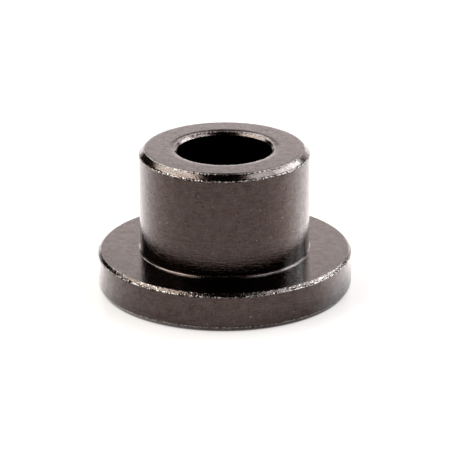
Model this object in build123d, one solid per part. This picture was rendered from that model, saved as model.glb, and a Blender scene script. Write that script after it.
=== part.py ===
from build123d import *
import os

# A plain flanged bushing, turned from solid bar and blackened.
# Millimetres, +Z up along the axis of turning, origin at the centre of the flange's underside.

# Main turned sizes
flange_diameter = 33.0
flange_thickness = 5.1
body_diameter = 22.0
overall_height = 18.8
bore_diameter = 12.3

# Broken edges, each at 45 degrees and given by its width along the axis
body_end_chamfer = 0.75
flange_top_chamfer = 0.5
flange_bottom_chamfer = 0.6
bore_top_chamfer = 0.4
bore_bottom_chamfer = 0.4

# Radius that the nose of the turning tool leaves in the corner between body and flange
root_radius = 0.25


def half_section():
    """The outline that is turned about the axis: the wall between the bore and the outside."""
    bore_r = bore_diameter / 2
    body_r = body_diameter / 2
    flange_r = flange_diameter / 2

    # Up the bore, out across the body's end, and down the outside to the top of the root radius
    bore_and_body = Polyline(
        (bore_r + bore_bottom_chamfer, 0),
        (bore_r, bore_bottom_chamfer),
        (bore_r, overall_height - bore_top_chamfer),
        (bore_r + bore_top_chamfer, overall_height),
        (body_r - body_end_chamfer, overall_height),
        (body_r, overall_height - body_end_chamfer),
        (body_r, flange_thickness + root_radius),
    )

    # The hollow quarter circle that leads from the body's wall to the flange's face
    root = CenterArc(
        center=(body_r + root_radius, flange_thickness + root_radius),
        radius=root_radius,
        start_angle=180,
        arc_size=90,
    )

    # Out across the flange's face, down its rim and back under it to the bore
    flange = Polyline(
        (body_r + root_radius, flange_thickness),
        (flange_r - flange_top_chamfer, flange_thickness),
        (flange_r, flange_thickness - flange_top_chamfer),
        (flange_r, flange_bottom_chamfer),
        (flange_r - flange_bottom_chamfer, 0),
        (bore_r + bore_bottom_chamfer, 0),
    )
    return make_face(Plane.XZ * Curve([bore_and_body, root, flange]))


def flanged_bushing():
    """The whole bushing, one solid of revolution with its bore right through."""
    return revolve(half_section(), axis=Axis.Z, revolution_arc=360)


os.makedirs("parts", exist_ok=True)
bushing = flanged_bushing()
bushing.label = "flanged_bushing"
export_step(bushing, "parts/flanged_bushing.step")
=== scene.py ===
import math
import random

import bpy
import numpy as np
from bpy.props import FloatProperty, FloatVectorProperty, PointerProperty
from mathutils import Matrix, Vector


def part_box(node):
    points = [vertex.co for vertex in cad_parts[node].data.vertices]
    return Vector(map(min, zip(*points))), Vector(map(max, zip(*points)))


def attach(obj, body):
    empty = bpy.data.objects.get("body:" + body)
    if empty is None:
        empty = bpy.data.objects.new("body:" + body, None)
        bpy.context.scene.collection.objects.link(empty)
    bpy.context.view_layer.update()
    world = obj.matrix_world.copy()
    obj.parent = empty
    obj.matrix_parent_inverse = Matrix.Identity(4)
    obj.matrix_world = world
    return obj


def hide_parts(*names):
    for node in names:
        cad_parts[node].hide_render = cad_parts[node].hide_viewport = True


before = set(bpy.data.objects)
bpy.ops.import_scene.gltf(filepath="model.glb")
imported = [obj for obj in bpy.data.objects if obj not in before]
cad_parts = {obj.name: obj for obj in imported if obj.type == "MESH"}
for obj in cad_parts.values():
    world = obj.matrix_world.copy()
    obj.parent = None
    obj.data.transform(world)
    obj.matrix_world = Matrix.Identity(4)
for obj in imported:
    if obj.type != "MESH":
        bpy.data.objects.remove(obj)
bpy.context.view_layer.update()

bl_info = {
    "name": "Blackened Flanged Bushing",
    "version": (1, 0, 0),
    "blender": (4, 5, 0),
    "location": "View3D > Sidebar > Bushing",
    "description": "Turns a blackened steel flanged bushing and sets it on a pale studio table",
    "category": "Object",
}

MM = 0.001
NODE = "flanged_bushing"
LOW, HIGH = [Vector(corner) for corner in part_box(NODE)]


def linear_colour(hex_value):
    """An sRGB hex colour such as '4E4442' as linear red, green, blue and alpha 1."""
    channels = [int(hex_value[i:i + 2], 16) / 255 for i in (0, 2, 4)]
    linear = [c / 12.92 if c <= 0.04045 else ((c + 0.055) / 1.055) ** 2.4 for c in channels]
    return (*linear, 1.0)


def size_property(name, description, default):
    """A length in metres that the sidebar shows in the scene's units."""
    return FloatProperty(
        name=name, description=description, default=default, min=0.0, unit="LENGTH",
        subtype="DISTANCE", precision=5)


def angle_property(name, description, degrees):
    """An angle that the sidebar shows in degrees."""
    return FloatProperty(
        name=name, description=description, default=math.radians(degrees), subtype="ANGLE", unit="ROTATION")


def colour_property(name, description, hex_value):
    """A colour given as sRGB hex."""
    return FloatVectorProperty(
        name=name, description=description, default=linear_colour(hex_value), subtype="COLOR", size=4,
        min=0.0, max=1.0)


def share_property(name, description, default):
    """A share from 0 to 1."""
    return FloatProperty(
        name=name, description=description, default=default, min=0.0, max=1.0, subtype="FACTOR")


class BushingSizes(bpy.types.PropertyGroup):
    """Turned sizes. The overall ones come from the frame."""
    flange_diameter: size_property("Flange diameter", "Outside of the flange", HIGH.x - LOW.x)
    overall_height: size_property("Overall height", "From the underside to the body's end", HIGH.z - LOW.z)
    flange_thickness: size_property("Flange thickness", "From the underside to the shoulder", 5.1 * MM)
    body_diameter: size_property("Body diameter", "Outside of the straight body", 22.0 * MM)
    bore_diameter: size_property("Bore diameter", "The hole that runs right through", 12.3 * MM)
    body_end_chamfer: size_property("Body end chamfer", "Broken edge at the body's free end", 0.75 * MM)
    flange_top_chamfer: size_property(
        "Flange top chamfer", "Height of the broken edge above the rim", 0.37 * MM)
    flange_top_width: size_property("Flange top width", "Width of the broken edge above the rim", 0.41 * MM)
    flange_bottom_chamfer: size_property("Flange bottom chamfer", "Broken edge below the rim", 0.6 * MM)
    bore_chamfer: size_property("Bore chamfer", "Broken edge at both mouths of the bore", 0.44 * MM)
    root_radius: size_property("Root radius", "Hollow corner between body and shoulder", 0.25 * MM)
    inner_lip: size_property("Inner lip", "Half the width of the fall towards the bore", 0.45 * MM)
    outer_lip: size_property("Outer lip", "Half the width of the fall towards the end chamfer", 0.23 * MM)
    inner_slope: angle_property("Inner slope", "Sets how far the face falls towards the bore", 15.5)
    outer_slope: angle_property("Outer slope", "Sets how far the face falls towards the end chamfer", 12.5)
    edge_radius: size_property("Edge radius", "Rounding that wear left on each turned edge", 0.09 * MM)
    nick_depth: size_property("Nick depth", "Deepest of the small dents along the edges", 0.045 * MM)


class BlackenedFinish(bpy.types.PropertyGroup):
    """Look of the steel: colours, gloss and the scale of the marks."""
    coating_colour: colour_property("Coating", "Oiled black oxide, seen square on", "1E100B")
    thin_colour: colour_property("Thin coating", "Where the oxide is thinner and paler", "4A3730")
    steel_colour: colour_property("Worn steel", "Bare steel on the rubbed edges", "A29B95")
    roughness: share_property("Roughness", "Roughness of the oxide", 0.16)
    oil_roughness: share_property("Oil roughness", "Roughness of the oil film over the oxide", 0.06)
    feed: size_property("Tool feed", "Spacing of the turning marks", 0.11 * MM)
    streak: size_property("Ring length", "How far one turning mark runs before it fades", 1.4 * MM)
    grain: size_property("Oxide grain", "Width of the mottling in the coating", 0.2 * MM)
    patch: size_property("Oil patch", "Width of the patches in the oil film", 0.9 * MM)
    hair: size_property("Hair scratches", "How far apart the hair scratches lie", 1.4 * MM)
    crumb: size_property("Edge crumb", "Size of the crumbs along the worn edges", 0.22 * MM)


class StudioTable(bpy.types.PropertyGroup):
    """The pale table, the room round it and the camera."""
    table_colour: colour_property("Table", "White matt table top", "8E8E8D")
    glow: share_property("Table glow", "How much of the white is the table's own glow", 0.61)
    # Painted light: the side glow brightens the table's sides only as reflections see them
    side_glow: FloatProperty(
        name="Side glow", description="How much brighter the sides of the table are in reflections",
        min=0.0, max=3.0, default=1.22)
    room_colour: colour_property("Room", "The dim room above the table and behind the camera", "1E1D1D")
    table_size: size_property("Table size", "Side of the square table top", 6.0)
    focal_length: FloatProperty(
        name="Focal length", description="Lens of the camera on a 36 mm sensor, in millimetres",
        default=201.4, min=1.0)
    camera_pitch: angle_property("Camera pitch", "How far the camera looks down", 20.9)


# Rows of the mesh beside an edge, as distances from its rounding, close where the nicks need them
FINE_STOPS = [0.05 * MM, 0.11 * MM, 0.18 * MM, 0.28 * MM, 0.42 * MM]
PLAIN_STOPS = [0.12 * MM]

# Such rows keep within this share of the straight that they lie on, so that the two ends' rows don't mix
STOP_SHARE = 0.45

# Rows on a plain wall lie less than this far apart
ROW_SPACING = 6 * MM

# Steps round the axis: 0.16 mm each at the rim
SEGMENTS = 640

# A fade of the wear takes at least this much, so that none is divided by nothing
SHORTEST_FADE = 0.001 * MM


class Corner:
    """One corner of the half section: its place and rounding, how worn it is, how far before and after it
    the wear fades, and the wear all along the straight that follows it."""

    def __init__(self, radius, height, rounding, steps=4, worn=0.0, before=0.0, after=0.0, along=0.0,
                 fine=True):
        self.place = Vector((radius, height))
        self.rounding = rounding
        self.steps = steps
        self.worn = worn
        self.before = before
        self.after = after
        self.along = along
        self.stops = FINE_STOPS if fine else PLAIN_STOPS


class Outline:
    """The half section of the bushing as points (radius, height), with its corners rounded."""

    def __init__(self, corners):
        self.points = []
        self.wear = []
        self.corners = corners
        for index in range(len(corners)):
            self.add_corner(index)
            self.add_straight(index)

    def corner_arc(self, index):
        """Start, end, way in and sweep of the arc that rounds one corner."""
        corner = self.corners[index]
        before = self.corners[index - 1].place
        after = self.corners[(index + 1) % len(self.corners)].place
        way_in = (corner.place - before).normalized()
        way_out = (after - corner.place).normalized()
        turn = math.atan2(way_in.cross(way_out), way_in.dot(way_out))
        reach = corner.rounding * math.tan(abs(turn) / 2)
        return corner.place - way_in * reach, corner.place + way_out * reach, way_in, turn

    def add_corner(self, index):
        """Points along the arc that rounds this corner."""
        corner = self.corners[index]
        start, _, way_in, turn = self.corner_arc(index)
        side = math.copysign(1.0, turn)
        centre = start + Vector((-way_in.y, way_in.x)) * corner.rounding * side
        spoke = start - centre
        for step in range(corner.steps + 1):
            self.points.append(centre + Matrix.Rotation(turn * step / corner.steps, 2) @ spoke)
            self.wear.append(corner.worn)

    def add_straight(self, index):
        """Points between this corner's arc and the next, closer together near the two ends."""
        here = self.corners[index]
        following = (index + 1) % len(self.corners)
        there = self.corners[following]
        start = self.corner_arc(index)[1]
        end = self.corner_arc(following)[0]
        length = (end - start).length
        stops = [s for s in here.stops if s < length * STOP_SHARE]
        stops += [length - s for s in there.stops if s < length * STOP_SHARE]
        if len(stops) < 2:
            return
        stops.sort()
        widest = max(range(len(stops) - 1), key=lambda i: stops[i + 1] - stops[i])
        gap = stops[widest + 1] - stops[widest]
        extra = int(gap / ROW_SPACING)
        stops += [stops[widest] + gap * (k + 1) / (extra + 1) for k in range(extra)]
        for stop in sorted(stops):
            self.points.append(start.lerp(end, stop / length))
            fade_here = here.worn * max(0.0, 1 - stop / max(here.after, SHORTEST_FADE))
            fade_there = there.worn * max(0.0, 1 - (length - stop) / max(there.before, SHORTEST_FADE))
            self.wear.append(max(fade_here, fade_there, here.along))


# Makes the rounding of a lip take up most of the lip's width
LIP_ROUNDING = 0.9

# How many times rounder the two edges of the flange's top chamfer are rubbed than the other edges
SHOULDER_RUB = 1.2
RIM_RUB = 1.3


def bushing_outline(sizes):
    """Corners in order up the bore, out over the end, down the body, out over the flange and back.
    The two rims of the end face have a lip, a shallow fall of the face towards the edge. Each lip meets
    its chamfer below the chamfer's own edge, so it ends a little flatter than its slope in the sizes."""
    bore_r = sizes.bore_diameter / 2
    body_r = sizes.body_diameter / 2
    flange_r = sizes.flange_diameter / 2
    top = sizes.overall_height
    shoulder = sizes.flange_thickness
    edge = sizes.edge_radius
    mouth = sizes.bore_chamfer
    end = sizes.body_end_chamfer
    rim = sizes.flange_top_chamfer
    rim_width = sizes.flange_top_width
    foot = sizes.flange_bottom_chamfer
    inner = sizes.inner_lip
    outer = sizes.outer_lip
    inner_drop = inner * math.tan(sizes.inner_slope)
    outer_drop = outer * math.tan(sizes.outer_slope)
    inner_roll = LIP_ROUNDING * inner / math.tan(sizes.inner_slope / 2)
    outer_roll = LIP_ROUNDING * outer / math.tan(sizes.outer_slope / 2)
    return Outline([
        Corner(bore_r + mouth, 0, edge, steps=2, fine=False),
        Corner(bore_r, mouth, edge, steps=2, fine=False),
        Corner(bore_r, top - mouth, edge, worn=0.28, before=0.1 * MM, after=0.1 * MM, along=0.05),
        Corner(bore_r + mouth - inner_drop, top - inner_drop, edge, worn=0.3, before=0.08 * MM,
               after=0.3 * MM),
        Corner(bore_r + mouth + inner, top, inner_roll, steps=6, worn=0.06),
        Corner(body_r - end - outer, top, outer_roll, steps=6, worn=0.06),
        Corner(body_r - end + outer_drop, top - outer_drop, edge, worn=0.42, before=0.20 * MM,
               after=0.12 * MM, along=0.08),
        Corner(body_r, top - end, edge, worn=0.85, before=0.14 * MM, after=0.25 * MM),
        Corner(body_r, shoulder, sizes.root_radius, steps=8, fine=False),
        Corner(flange_r - rim_width, shoulder, edge * SHOULDER_RUB, worn=0.35, before=0.02 * MM,
               after=0.12 * MM, along=0.26),
        Corner(flange_r, shoulder - rim, edge * RIM_RUB, worn=0.8, before=0.18 * MM, after=0.14 * MM),
        Corner(flange_r, foot, edge, worn=0.85, before=0.14 * MM, after=0.14 * MM, along=0.15),
        Corner(flange_r - foot, 0, edge, steps=3, worn=0.6, before=0.1 * MM, after=0.1 * MM),
    ])


def turned_mesh(name, outline):
    """The outline turned about the axis, as a closed mesh of quads, with the wear as an attribute."""
    angles = np.linspace(0, 2 * math.pi, SEGMENTS, endpoint=False)
    radius = np.array([p[0] for p in outline.points])
    height = np.array([p[1] for p in outline.points])
    rows = len(radius)
    x = np.outer(np.sin(angles), radius)
    y = -np.outer(np.cos(angles), radius)
    z = np.tile(height, (SEGMENTS, 1))
    points = np.stack([x, y, z], axis=-1).reshape(-1, 3)
    faces = []
    for a in range(SEGMENTS):
        b = (a + 1) % SEGMENTS
        for j in range(rows):
            k = (j + 1) % rows
            faces.append((a * rows + j, a * rows + k, b * rows + k, b * rows + j))
    mesh = bpy.data.meshes.new(name)
    mesh.from_pydata(points.tolist(), [], faces)
    worn = mesh.attributes.new("wear", "FLOAT", "POINT")
    worn.data.foreach_set("value", np.tile(np.array(outline.wear), SEGMENTS).astype(np.float32))
    mesh.polygons.foreach_set("use_smooth", [True] * len(mesh.polygons))
    mesh.update()
    return mesh


# Dents along all the worn edges together, and the seed that places them
NICK_COUNT = 9000
NICK_SEED = 7

# Only rows worn more than this are the middle of a dent
NICKED_WEAR = 0.28

# Reach of the narrowest and of the widest dent from its middle, in millimetres
NICK_REACH = (0.08, 0.24)

# The shallowest dent has the square of this share of the full depth
LEAST_NICK = 0.2

# Dents lose depth where the wear is under a quarter, because this times the wear is then under one
NICK_FADE = 4


def nick_edges(mesh, nick_depth, rows):
    """Small dents along the worn edges, pressed in along the surface normals."""
    draw = random.Random(NICK_SEED)
    count = len(mesh.vertices)
    segments = count // rows
    points = np.empty(count * 3)
    normals = np.empty(count * 3)
    worn = np.empty(count, dtype=np.float32)
    mesh.vertices.foreach_get("co", points)
    mesh.vertices.foreach_get("normal", normals)
    mesh.attributes["wear"].data.foreach_get("value", worn)
    points = points.reshape(segments, rows, 3)
    normals = normals.reshape(segments, rows, 3)
    worn = worn.reshape(segments, rows)[0]
    depth = np.zeros((segments, rows))
    radius = np.hypot(points[0, :, 0], points[0, :, 1])
    edges = np.flatnonzero(worn > NICKED_WEAR)
    chance = np.cumsum(worn[edges] ** 2 * radius[edges])
    for _ in range(NICK_COUNT):
        row = edges[np.searchsorted(chance, draw.random() * chance[-1])]
        turn = draw.randrange(segments)
        reach = draw.uniform(*NICK_REACH) * MM
        deep = nick_depth * draw.uniform(LEAST_NICK, 1.0) ** 2
        wide = math.ceil(reach / (2 * math.pi * radius[row] / segments)) + 1
        near = np.arange(turn - wide, turn + wide + 1) % segments
        gap = np.linalg.norm(points[near] - points[turn, row], axis=2) / reach
        dent = deep * np.clip(1 - gap ** 2, 0, None) ** 1.5
        depth[near] = np.maximum(depth[near], dent)
    depth *= np.clip(worn * NICK_FADE, 0, 1)
    points -= normals * depth[:, :, None]
    mesh.vertices.foreach_set("co", points.reshape(-1))
    mesh.update()


def add_node(tree, kind, inputs=(), **settings):
    """A node with its settings, and its inputs as pairs of socket and value or link."""
    node = tree.nodes.new(kind)
    for key, value in settings.items():
        setattr(node, key, value)
    for socket, value in inputs:
        if isinstance(value, bpy.types.NodeSocket):
            tree.links.new(value, node.inputs[socket])
        else:
            node.inputs[socket].default_value = value
    return node


def new_material(name):
    """An empty node material, its tree and its output."""
    material = bpy.data.materials.new(name)
    material.use_nodes = True
    tree = material.node_tree
    tree.nodes.clear()
    return material, tree, add_node(tree, "ShaderNodeOutputMaterial")


# How far the marks in the finish stand up
RING_HEIGHT = 0.018 * MM
MOTTLE_HEIGHT = 0.015 * MM
CRUMB_HEIGHT = 0.15 * MM

# On the faces the rings lie this many times closer, and the minus keeps them on the outer chamfers too
FACE_FEED = -1.37

# How far the roughness of the oxide goes below and above its own value in places
SMOOTHER = 0.05
ROUGHER = 0.07

# How much full wear raises the crumbs that show bare steel, and sinks those that are dark pits
PROUD_WEAR = 0.42
SUNK_WEAR = -0.22

# Way that the hair scratches run, in radians round the axis, and the noise's scale along, across and up
HAIR_TURN = 0.6
HAIR_STRETCH = (0.12, 1.0, 0.5)

# Level of the noise that is a scratch, half the width of that level, and what a scratch does to the oil
HAIR_LEVEL = 0.55
HAIR_WIDTH = 0.008
HAIR_LOSS = -0.35


def blackened_steel(finish):
    """Turned steel, blackened in a hot oxide bath and oiled: near black and glossy like stone square on,
    pale at a glance, with rings from the tool, a fine mottle, and bright steel rubbed through at the
    edges."""
    material, tree, output = new_material("oiled_black_oxide_turned_steel")
    place = add_node(tree, "ShaderNodeTexCoord").outputs["Object"]
    split = add_node(tree, "ShaderNodeSeparateXYZ", [("Vector", place)]).outputs
    flat = add_node(tree, "ShaderNodeCombineXYZ", [("X", split["X"]), ("Y", split["Y"])])
    radius = add_node(tree, "ShaderNodeVectorMath", [(0, flat.outputs["Vector"])], operation="LENGTH")
    wear = add_node(tree, "ShaderNodeAttribute", attribute_name="wear").outputs["Fac"]

    # Rings: noise drawn out along the way the tool went, one cell across for each turn of its feed
    across = add_node(tree, "ShaderNodeMath", [
        (0, radius.outputs["Value"]), (1, FACE_FEED), (2, split["Z"])], operation="MULTIPLY_ADD")
    tight = add_node(tree, "ShaderNodeMath", [
        (0, across.outputs["Value"]), (1, finish.streak / finish.feed)], operation="MULTIPLY")
    along = add_node(tree, "ShaderNodeCombineXYZ", [
        ("X", split["X"]), ("Y", split["Y"]), ("Z", tight.outputs["Value"])])
    rings = add_node(tree, "ShaderNodeTexNoise", [
        ("Vector", along.outputs["Vector"]), ("Scale", 1 / finish.streak), ("Detail", 2.0),
        ("Roughness", 0.6)]).outputs["Fac"]

    # Mottle of the oxide, in the round. The real grain is finer, and this is as coarse as it needs to show
    mottle = add_node(tree, "ShaderNodeTexNoise", [
        ("Vector", place), ("Scale", 1 / finish.grain), ("Detail", 3.0), ("Roughness", 0.65)]).outputs["Fac"]

    # Crumbling of the worn edges
    crumbs = add_node(tree, "ShaderNodeTexNoise", [
        ("Vector", place), ("Scale", 1 / finish.crumb), ("Detail", 1.0), ("Roughness", 0.5)]).outputs["Fac"]

    # The walls were turned with a coarser feed than the faces, so their rings are deeper
    facing = add_node(tree, "ShaderNodeNewGeometry").outputs["Normal"]
    slope = add_node(tree, "ShaderNodeSeparateXYZ", [("Vector", facing)]).outputs["Z"]
    level = add_node(tree, "ShaderNodeMath", [(0, slope)], operation="ABSOLUTE")
    ring_depth = add_node(tree, "ShaderNodeMapRange", [
        ("Value", level.outputs["Value"]), ("From Min", 0.1), ("From Max", 0.6), ("To Min", 1.0),
        ("To Max", 0.25)])
    ring_bump = add_node(tree, "ShaderNodeBump", [
        ("Strength", ring_depth.outputs["Result"]), ("Distance", RING_HEIGHT), ("Height", rings)])
    mottle_bump = add_node(tree, "ShaderNodeBump", [
        ("Strength", 0.6), ("Distance", MOTTLE_HEIGHT), ("Height", mottle),
        ("Normal", ring_bump.outputs["Normal"])])
    edge_bump = add_node(tree, "ShaderNodeBump", [
        ("Strength", wear), ("Distance", CRUMB_HEIGHT), ("Height", crumbs),
        ("Normal", mottle_bump.outputs["Normal"])]).outputs["Normal"]

    # The oxide is a little paler and darker in patches, and along the crests of the rings
    uneven = add_node(tree, "ShaderNodeMath", [(0, mottle), (1, rings)])
    thin = add_node(tree, "ShaderNodeMapRange", [
        ("Value", uneven.outputs["Value"]), ("From Min", 0.75), ("From Max", 1.28), ("To Min", 0.1),
        ("To Max", 0.9)])
    oxide = add_node(tree, "ShaderNodeMix", [
        ("Factor", thin.outputs["Result"]), ("A", finish.coating_colour), ("B", finish.thin_colour)],
        data_type="RGBA")

    # Bare steel where the edge is worn and the crumbs stand proud
    proud = add_node(tree, "ShaderNodeMath", [
        (0, wear), (1, PROUD_WEAR), (2, crumbs)], operation="MULTIPLY_ADD")
    bare = add_node(tree, "ShaderNodeMapRange", [
        ("Value", proud.outputs["Value"]), ("From Min", 0.74), ("From Max", 0.82), ("To Min", 0.0),
        ("To Max", 0.8)])
    colour = add_node(tree, "ShaderNodeMix", [
        ("Factor", bare.outputs["Result"]), ("A", oxide.outputs["Result"]), ("B", finish.steel_colour)],
        data_type="RGBA")

    # The oxide is smoother and rougher in places, with the mottle
    patchy = add_node(tree, "ShaderNodeMapRange", [
        ("Value", mottle), ("From Min", 0.3), ("From Max", 0.7), ("To Min", finish.roughness - SMOOTHER),
        ("To Max", finish.roughness + ROUGHER)])

    # The oil lies thicker and thinner in patches
    patches = add_node(tree, "ShaderNodeTexNoise", [
        ("Vector", place), ("Scale", 1 / finish.patch), ("Detail", 4.0), ("Roughness", 0.62)])
    film = add_node(tree, "ShaderNodeMapRange", [
        ("Value", patches.outputs["Fac"]), ("From Min", 0.36), ("From Max", 0.64), ("To Min", 0.68),
        ("To Max", 1.0)])

    # Pits along the worn edges, where the film is broken and the steel shows dark
    sunk = add_node(tree, "ShaderNodeMath", [
        (0, wear), (1, SUNK_WEAR), (2, crumbs)], operation="MULTIPLY_ADD")
    whole = add_node(tree, "ShaderNodeMapRange", [
        ("Value", sunk.outputs["Value"]), ("From Min", 0.30), ("From Max", 0.36), ("To Min", 0.12),
        ("To Max", 1.0)])
    unbroken = add_node(tree, "ShaderNodeMath", [
        (0, film.outputs["Result"]), (1, whole.outputs["Result"])], operation="MULTIPLY")

    # Hair scratches: thin level lines of a noise that is drawn out along one way of handling
    turned = add_node(tree, "ShaderNodeVectorRotate", [
        ("Vector", place), ("Angle", HAIR_TURN)], rotation_type="Z_AXIS")
    drawn = add_node(tree, "ShaderNodeVectorMath", [
        (0, turned.outputs["Vector"]), (1, HAIR_STRETCH)], operation="MULTIPLY")
    hairs = add_node(tree, "ShaderNodeTexNoise", [
        ("Vector", drawn.outputs["Vector"]), ("Scale", 1 / finish.hair), ("Detail", 2.0),
        ("Roughness", 0.5)])
    scratch = add_node(tree, "ShaderNodeMath", [
        (0, hairs.outputs["Fac"]), (1, HAIR_LEVEL), (2, HAIR_WIDTH)], operation="COMPARE")
    remaining = add_node(tree, "ShaderNodeMath", [
        (0, scratch.outputs["Value"]), (1, HAIR_LOSS), (2, 1.0)], operation="MULTIPLY_ADD")
    oil = add_node(tree, "ShaderNodeMath", [
        (0, unbroken.outputs["Value"]), (1, remaining.outputs["Value"])], operation="MULTIPLY")

    shader = add_node(tree, "ShaderNodeBsdfPrincipled", [
        ("Base Color", colour.outputs["Result"]), ("Metallic", 1.0),
        ("Roughness", patchy.outputs["Result"]), ("Coat Weight", oil.outputs["Value"]),
        ("Coat Roughness", finish.oil_roughness), ("Coat IOR", 1.5), ("Normal", edge_bump),
        ("Coat Normal", edge_bump)])
    tree.links.new(shader.outputs["BSDF"], output.inputs["Surface"])
    return material


# Tint of the table's glow seen straight, and of the glow with its painted light and shadow seen in
# reflections
SEEN_TINT = linear_colour("FFF8F6")
MIRRORED_TINT = linear_colour("FFF3F2")

# Painted contact shadow: ring inside the flange's rim over which the glow fades, and the share of it that is
# left below the foot
CONTACT_FADE = (0.6 * MM, 0.3 * MM)
CONTACT_GLOW = 0.1

# Painted light in front: stretch in front of the axis over which the glow rises, and how much brighter it is
# there
FRONT_PAINTED_STRETCH = (-16 * MM, -6 * MM)
FRONT_PAINTED_LIGHT = 1.16

# Stretch out from the axis over which the table's glow takes over from the lamps, in metres
LAMP_REACH = (0.08, 0.35)

# Painted light of the table in reflections: its glow as a share of the plain glow, and the shares of the
# side glow at the left and right
MIRRORED_GLOW = 1.17
LEFT_GLOW = 0.54
RIGHT_GLOW = 0.65

# Sines of the azimuth, counted from the front and the back, where the painted bright sides start and are
# full
SIDE_STRETCH = (0.60, 0.95)

# Way to the painted bright back, and about the cosines from it at which the painted glow of the sides starts
# and is full
BACK_WAY = (0.15, 1.0, 0.0)
BACK_STRETCH = (-0.85, 0.5)

# Painted soft shadow on the table, seen only in reflections: how far to the right it lies, where it is full,
# and where it ends
SHADOW_SHIFT = (1.6 * MM, 0, 0)
SHADOW_STRETCH = (13.6 * MM, 21.5 * MM)


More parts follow.
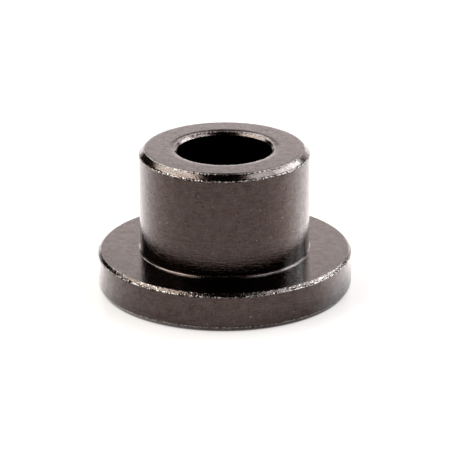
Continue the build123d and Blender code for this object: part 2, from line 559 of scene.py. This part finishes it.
def white_table(table):
    """Matt white laminate: a flat board that shows soft shadows and no clear mirror image. Its glow carries
    a painted contact shadow and a painted lighter front, and in reflections painted pools of light and a
    painted soft shadow.
    """
    material, tree, output = new_material("matt_white_laminate")
    path = add_node(tree, "ShaderNodeLightPath").outputs
    seen = add_node(tree, "ShaderNodeMath", [
        (0, path["Is Camera Ray"]), (1, path["Is Glossy Ray"])], operation="MAXIMUM")
    seen = add_node(tree, "ShaderNodeMath", [
        (0, seen.outputs["Value"]), (1, path["Is Transmission Ray"])], operation="MAXIMUM")

    # Painted contact shadow: the table's glow falls low where the table meets the foot
    place = add_node(tree, "ShaderNodeTexCoord").outputs["Object"]
    out = add_node(tree, "ShaderNodeVectorMath", [(0, place)], operation="LENGTH").outputs["Value"]
    painted_contact_shadow = add_node(tree, "ShaderNodeMapRange", [
        ("Value", out), ("From Min", HIGH.x - CONTACT_FADE[0]), ("From Max", HIGH.x - CONTACT_FADE[1]),
        ("To Min", CONTACT_GLOW * table.glow), ("To Max", table.glow)])

    # Painted light in front: the glow is raised in front of the axis, so the shadow there is fainter
    forward = add_node(tree, "ShaderNodeSeparateXYZ", [("Vector", place)]).outputs["Y"]
    front = add_node(tree, "ShaderNodeMapRange", [
        ("Value", forward), ("From Min", FRONT_PAINTED_STRETCH[0]), ("From Max", FRONT_PAINTED_STRETCH[1]),
        ("To Min", FRONT_PAINTED_LIGHT), ("To Max", 1.0)])
    glow_with_painted_shade = add_node(tree, "ShaderNodeMath", [
        (0, painted_contact_shadow.outputs["Result"]), (1, front.outputs["Result"])], operation="MULTIPLY")

    # Out of the lamps' reach the table stays white to its edge
    far = add_node(tree, "ShaderNodeMapRange", [
        ("Value", out), ("From Min", LAMP_REACH[0]), ("From Max", LAMP_REACH[1]), ("To Min", 0.0),
        ("To Max", 1.0 - table.glow)])
    glow_with_painted_shade = add_node(tree, "ShaderNodeMath", [(0, glow_with_painted_shade.outputs["Value"]), (1, far.outputs["Result"])])
    white = add_node(tree, "ShaderNodeMath", [
        (0, seen.outputs["Value"]), (1, glow_with_painted_shade.outputs["Value"])], operation="MULTIPLY")

    # Painted pools of light, seen only in reflections: the table's glow is brighter at the sides and the
    # back than in front
    way = add_node(tree, "ShaderNodeVectorMath", [(0, place)], operation="NORMALIZE").outputs["Vector"]
    across = add_node(tree, "ShaderNodeSeparateXYZ", [("Vector", way)]).outputs["X"]
    aside = add_node(tree, "ShaderNodeMath", [(0, across)], operation="ABSOLUTE")
    side = add_node(tree, "ShaderNodeMapRange", [
        ("Value", aside.outputs["Value"]), ("From Min", SIDE_STRETCH[0]), ("From Max", SIDE_STRETCH[1]),
        ("To Min", 0.0), ("To Max", 1.0)])
    behind = add_node(tree, "ShaderNodeVectorMath", [(0, way), (1, BACK_WAY)], operation="DOT_PRODUCT")
    rise = add_node(tree, "ShaderNodeMapRange", [
        ("Value", behind.outputs["Value"]), ("From Min", BACK_STRETCH[0]), ("From Max", BACK_STRETCH[1]),
        ("To Min", 0.0), ("To Max", 1.0)])
    strong = add_node(tree, "ShaderNodeMapRange", [
        ("Value", across), ("From Min", -1.0), ("From Max", 1.0), ("To Min", LEFT_GLOW * table.side_glow),
        ("To Max", RIGHT_GLOW * table.side_glow)])
    painted_pools = add_node(tree, "ShaderNodeMath", [
        (0, side.outputs["Result"]), (1, rise.outputs["Result"])], operation="MULTIPLY")
    painted_pools = add_node(tree, "ShaderNodeMath", [
        (0, painted_pools.outputs["Value"]), (1, strong.outputs["Result"]), (2, MIRRORED_GLOW * table.glow)],
        operation="MULTIPLY_ADD")

    # Painted shadow: close to the object the glow seen in reflections fades out, a little to the right of
    # the axis
    shaded = add_node(tree, "ShaderNodeVectorMath", [(0, place), (1, SHADOW_SHIFT)], operation="SUBTRACT")
    away = add_node(tree, "ShaderNodeVectorMath", [(0, shaded.outputs["Vector"])], operation="LENGTH")
    outside_painted_shadow = add_node(tree, "ShaderNodeMapRange", [
        ("Value", away.outputs["Value"]), ("From Min", SHADOW_STRETCH[0]), ("From Max", SHADOW_STRETCH[1]),
        ("To Min", 0.0), ("To Max", 1.0)])
    painted_pools = add_node(tree, "ShaderNodeMath", [
        (0, painted_pools.outputs["Value"]), (1, outside_painted_shadow.outputs["Result"])], operation="MULTIPLY")

    mirrored = add_node(tree, "ShaderNodeMath", [
        (0, path["Is Glossy Ray"]), (1, path["Is Transmission Ray"])], operation="MAXIMUM").outputs["Value"]
    glow = add_node(tree, "ShaderNodeMix", [
        ("Factor", mirrored), ("A", white.outputs["Value"]), ("B", painted_pools.outputs["Value"])])
    tint = add_node(tree, "ShaderNodeMix", [
        ("Factor", mirrored), ("A", SEEN_TINT), ("B", MIRRORED_TINT)], data_type="RGBA")
    shader = add_node(tree, "ShaderNodeBsdfPrincipled", [
        ("Base Color", table.table_colour), ("Roughness", 0.35),
        ("Emission Color", tint.outputs["Result"]), ("Emission Strength", glow.outputs["Result"])])
    tree.links.new(shader.outputs["BSDF"], output.inputs["Surface"])
    return material


# Reflections lose the white backdrop between these heights over the table's edge, as sines of the angle
BACKDROP_EDGE = (0.03, 0.045)
WHITE = linear_colour("FFFFFF")


def dim_room(table):
    """The room. Seen straight, all of it is a white backdrop; reflections find the backdrop low over the
    table's edge and the dim room above it."""
    world = bpy.data.worlds.new("dim_room")
    world.use_nodes = True
    tree = world.node_tree
    path = add_node(tree, "ShaderNodeLightPath").outputs
    mirrored = add_node(tree, "ShaderNodeMath", [
        (0, path["Is Glossy Ray"]), (1, path["Is Transmission Ray"])], operation="MAXIMUM")
    way = add_node(tree, "ShaderNodeTexCoord").outputs["Generated"]
    rise = add_node(tree, "ShaderNodeSeparateXYZ", [("Vector", way)]).outputs["Z"]
    low = add_node(tree, "ShaderNodeMapRange", [
        ("Value", rise), ("From Min", BACKDROP_EDGE[0]), ("From Max", BACKDROP_EDGE[1]), ("To Min", 1.0),
        ("To Max", 0.0)])
    backdrop = add_node(tree, "ShaderNodeMath", [
        (0, mirrored.outputs["Value"]), (1, low.outputs["Result"])], operation="MULTIPLY")
    backdrop = add_node(tree, "ShaderNodeMath", [
        (0, backdrop.outputs["Value"]), (1, path["Is Camera Ray"])], operation="MAXIMUM")
    shown = add_node(tree, "ShaderNodeMix", [
        ("Factor", backdrop.outputs["Value"]), ("A", table.room_colour), ("B", WHITE)], data_type="RGBA")
    tree.links.new(shown.outputs["Result"], tree.nodes["Background"].inputs["Color"])
    return world


# Tints of the lamps in linear red, green and blue
GREENISH = (0.95, 1.0, 0.95)
BLUISH = (0.89, 1.0, 1.05)
ICY = (0.88, 1.0, 1.05)
REDDISH = (1.12, 1.0, 0.98)
ROSY = (1.08, 1.0, 0.98)
CREAM = (1.0, 1.0, 0.98)
NEUTRAL = (1.0, 1.0, 1.0)

# The lamps: name, azimuth, elevation, spread, rise, radiance, tint and lean, with every angle in degrees
LAMPS = (
    ("left_softbox", -85, 51.5, 50, 31, 8.1, GREENISH, 0),
    ("right_softbox", 66.5, 37, 30, 22, 10.2, BLUISH, 0),
    ("right_table_light", 74, 7.5, 40, 8, 6.0, BLUISH, 0),
    ("right_low_softbox", 50, 26.5, 10, 8, 5.0, BLUISH, 0),
    ("right_high_softbox", 101, 56, 30, 20, 6.2, ICY, 0),
    ("back_light", 5, 12, 66, 26, 1.06, REDDISH, 0),
    ("back_left_high", -21.8, 42, 24.5, 27, 4.9, CREAM, -15),
    ("back_right_low", 30, 28, 42, 6, 0.7, ROSY, 0),
    ("back_right_high", 22.8, 42, 26.4, 27, 3.3, NEUTRAL, 15),
)

# How far the lamps stand from the point that they face, and that point, about half way up the axis
LAMP_DISTANCE = 0.4
LAMP_TARGET = Vector((0, 0, 0.01))


def softbox(name, azimuth, elevation, spread, rise, radiance, tint, lean):
    """A flat lamp that faces the object. Azimuth runs from +Y towards +X, spread and rise are the angles
    that it takes up across and upwards, and lean turns it about the line to the object."""
    az = math.radians(azimuth)
    el = math.radians(elevation)
    way = Vector((math.sin(az) * math.cos(el), math.cos(az) * math.cos(el), math.sin(el)))
    lamp = bpy.data.lights.new(name, "AREA")
    lamp.shape = "RECTANGLE"
    lamp.size = 2 * LAMP_DISTANCE * math.tan(math.radians(spread) / 2)
    lamp.size_y = 2 * LAMP_DISTANCE * math.tan(math.radians(rise) / 2)
    lamp.energy = radiance * math.pi * lamp.size * lamp.size_y
    lamp.color = tint
    stand = bpy.data.objects.new(name, lamp)
    stand.visible_camera = False
    facing = way.to_track_quat("Z", "Y").to_matrix() @ Matrix.Rotation(math.radians(lean), 3, "Z")
    stand.matrix_world = Matrix.Translation(LAMP_TARGET + way * LAMP_DISTANCE) @ facing.to_4x4()
    bpy.context.collection.objects.link(stand)


# Where the photograph shows the centre of the flange's underside, in its 450 by 450 pixels
PICTURE = 450
BASE_PIXEL = (224.84, 282.75)

# Sensor width in millimetres, distance from that centre along the view in metres, and roll of the camera
SENSOR = 36.0
CAMERA_DISTANCE = 0.330
CAMERA_ROLL = math.radians(0.23)


def aim_camera(table):
    """A long lens looking down at the object, level but for a hair of roll."""
    pitch = table.camera_pitch
    forward = Vector((0, math.cos(pitch), -math.sin(pitch)))
    roll = Matrix.Rotation(CAMERA_ROLL, 3, forward)
    right = roll @ Vector((1, 0, 0))
    up = roll @ Vector((0, math.sin(pitch), math.cos(pitch)))
    focal_pixels = table.focal_length / SENSOR * PICTURE
    across = (BASE_PIXEL[0] - PICTURE / 2) * CAMERA_DISTANCE / focal_pixels
    down = (BASE_PIXEL[1] - PICTURE / 2) * CAMERA_DISTANCE / focal_pixels
    lens = bpy.data.cameras.new("long_lens")
    lens.lens = table.focal_length
    lens.sensor_width = SENSOR
    lens.clip_start = 0.01
    lens.clip_end = 20.0
    camera = bpy.data.objects.new("camera", lens)
    turn = Matrix((right, up, -forward)).transposed().to_4x4()
    camera.matrix_world = Matrix.Translation(-CAMERA_DISTANCE * forward - across * right + down * up) @ turn
    bpy.context.collection.objects.link(camera)
    bpy.context.scene.camera = camera


class BUSHING_OT_turn(bpy.types.Operator):
    """Turn the bushing on its axis, nick its edges and blacken it"""
    bl_idname = "bushing.turn"
    bl_label = "Turn Bushing"

    def execute(self, context):
        sizes = context.scene.bushing_sizes
        outline = bushing_outline(sizes)
        mesh = turned_mesh("turned_bushing", outline)
        nick_edges(mesh, sizes.nick_depth, len(outline.points))
        mesh.materials.append(blackened_steel(context.scene.bushing_finish))
        piece = bpy.data.objects.new("turned_bushing", mesh)
        context.collection.objects.link(piece)
        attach(piece, "root")
        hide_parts(NODE)
        return {"FINISHED"}


class BUSHING_OT_set_table(bpy.types.Operator):
    """Lay the pale table, light it with softboxes and aim the camera"""
    bl_idname = "bushing.set_table"
    bl_label = "Set Table"

    def execute(self, context):
        table = context.scene.bushing_table
        half = table.table_size / 2
        corners = [(-half, -half, 0), (half, -half, 0), (half, half, 0), (-half, half, 0)]
        mesh = bpy.data.meshes.new("table_top")
        mesh.from_pydata(corners, [], [(0, 1, 2, 3)])
        mesh.materials.append(white_table(table))
        top = bpy.data.objects.new("table_top", mesh)
        context.collection.objects.link(top)
        for lamp in LAMPS:
            softbox(*lamp)
        context.scene.world = dim_room(table)
        context.scene.view_settings.view_transform = "Standard"
        aim_camera(table)
        return {"FINISHED"}


class BUSHING_PT_sidebar(bpy.types.Panel):
    """Sizes, finish and stage of the bushing"""
    bl_idname = "BUSHING_PT_sidebar"
    bl_label = "Flanged Bushing"
    bl_space_type = "VIEW_3D"
    bl_region_type = "UI"
    bl_category = "Bushing"

    def draw(self, context):
        for group, operator in (("bushing_sizes", "bushing.turn"), ("bushing_finish", "bushing.turn"),
                                ("bushing_table", "bushing.set_table")):
            box = self.layout.box()
            properties = getattr(context.scene, group)
            for key in properties.bl_rna.properties.keys():
                if key not in ("rna_type", "name"):
                    box.prop(properties, key)
            box.operator(operator)


CLASSES = (
    BushingSizes, BlackenedFinish, StudioTable, BUSHING_OT_turn, BUSHING_OT_set_table, BUSHING_PT_sidebar)


def register():
    """Add the classes, and the settings to the scene."""
    for item in CLASSES:
        bpy.utils.register_class(item)
    bpy.types.Scene.bushing_sizes = PointerProperty(type=BushingSizes)
    bpy.types.Scene.bushing_finish = PointerProperty(type=BlackenedFinish)
    bpy.types.Scene.bushing_table = PointerProperty(type=StudioTable)


def unregister():
    """Take the settings and the classes away again."""
    del bpy.types.Scene.bushing_table
    del bpy.types.Scene.bushing_finish
    del bpy.types.Scene.bushing_sizes
    for item in reversed(CLASSES):
        bpy.utils.unregister_class(item)


def main():
    """Make the bushing and its stage."""
    register()
    bpy.ops.bushing.turn()
    bpy.ops.bushing.set_table()


if __name__ == "__main__":
    main()
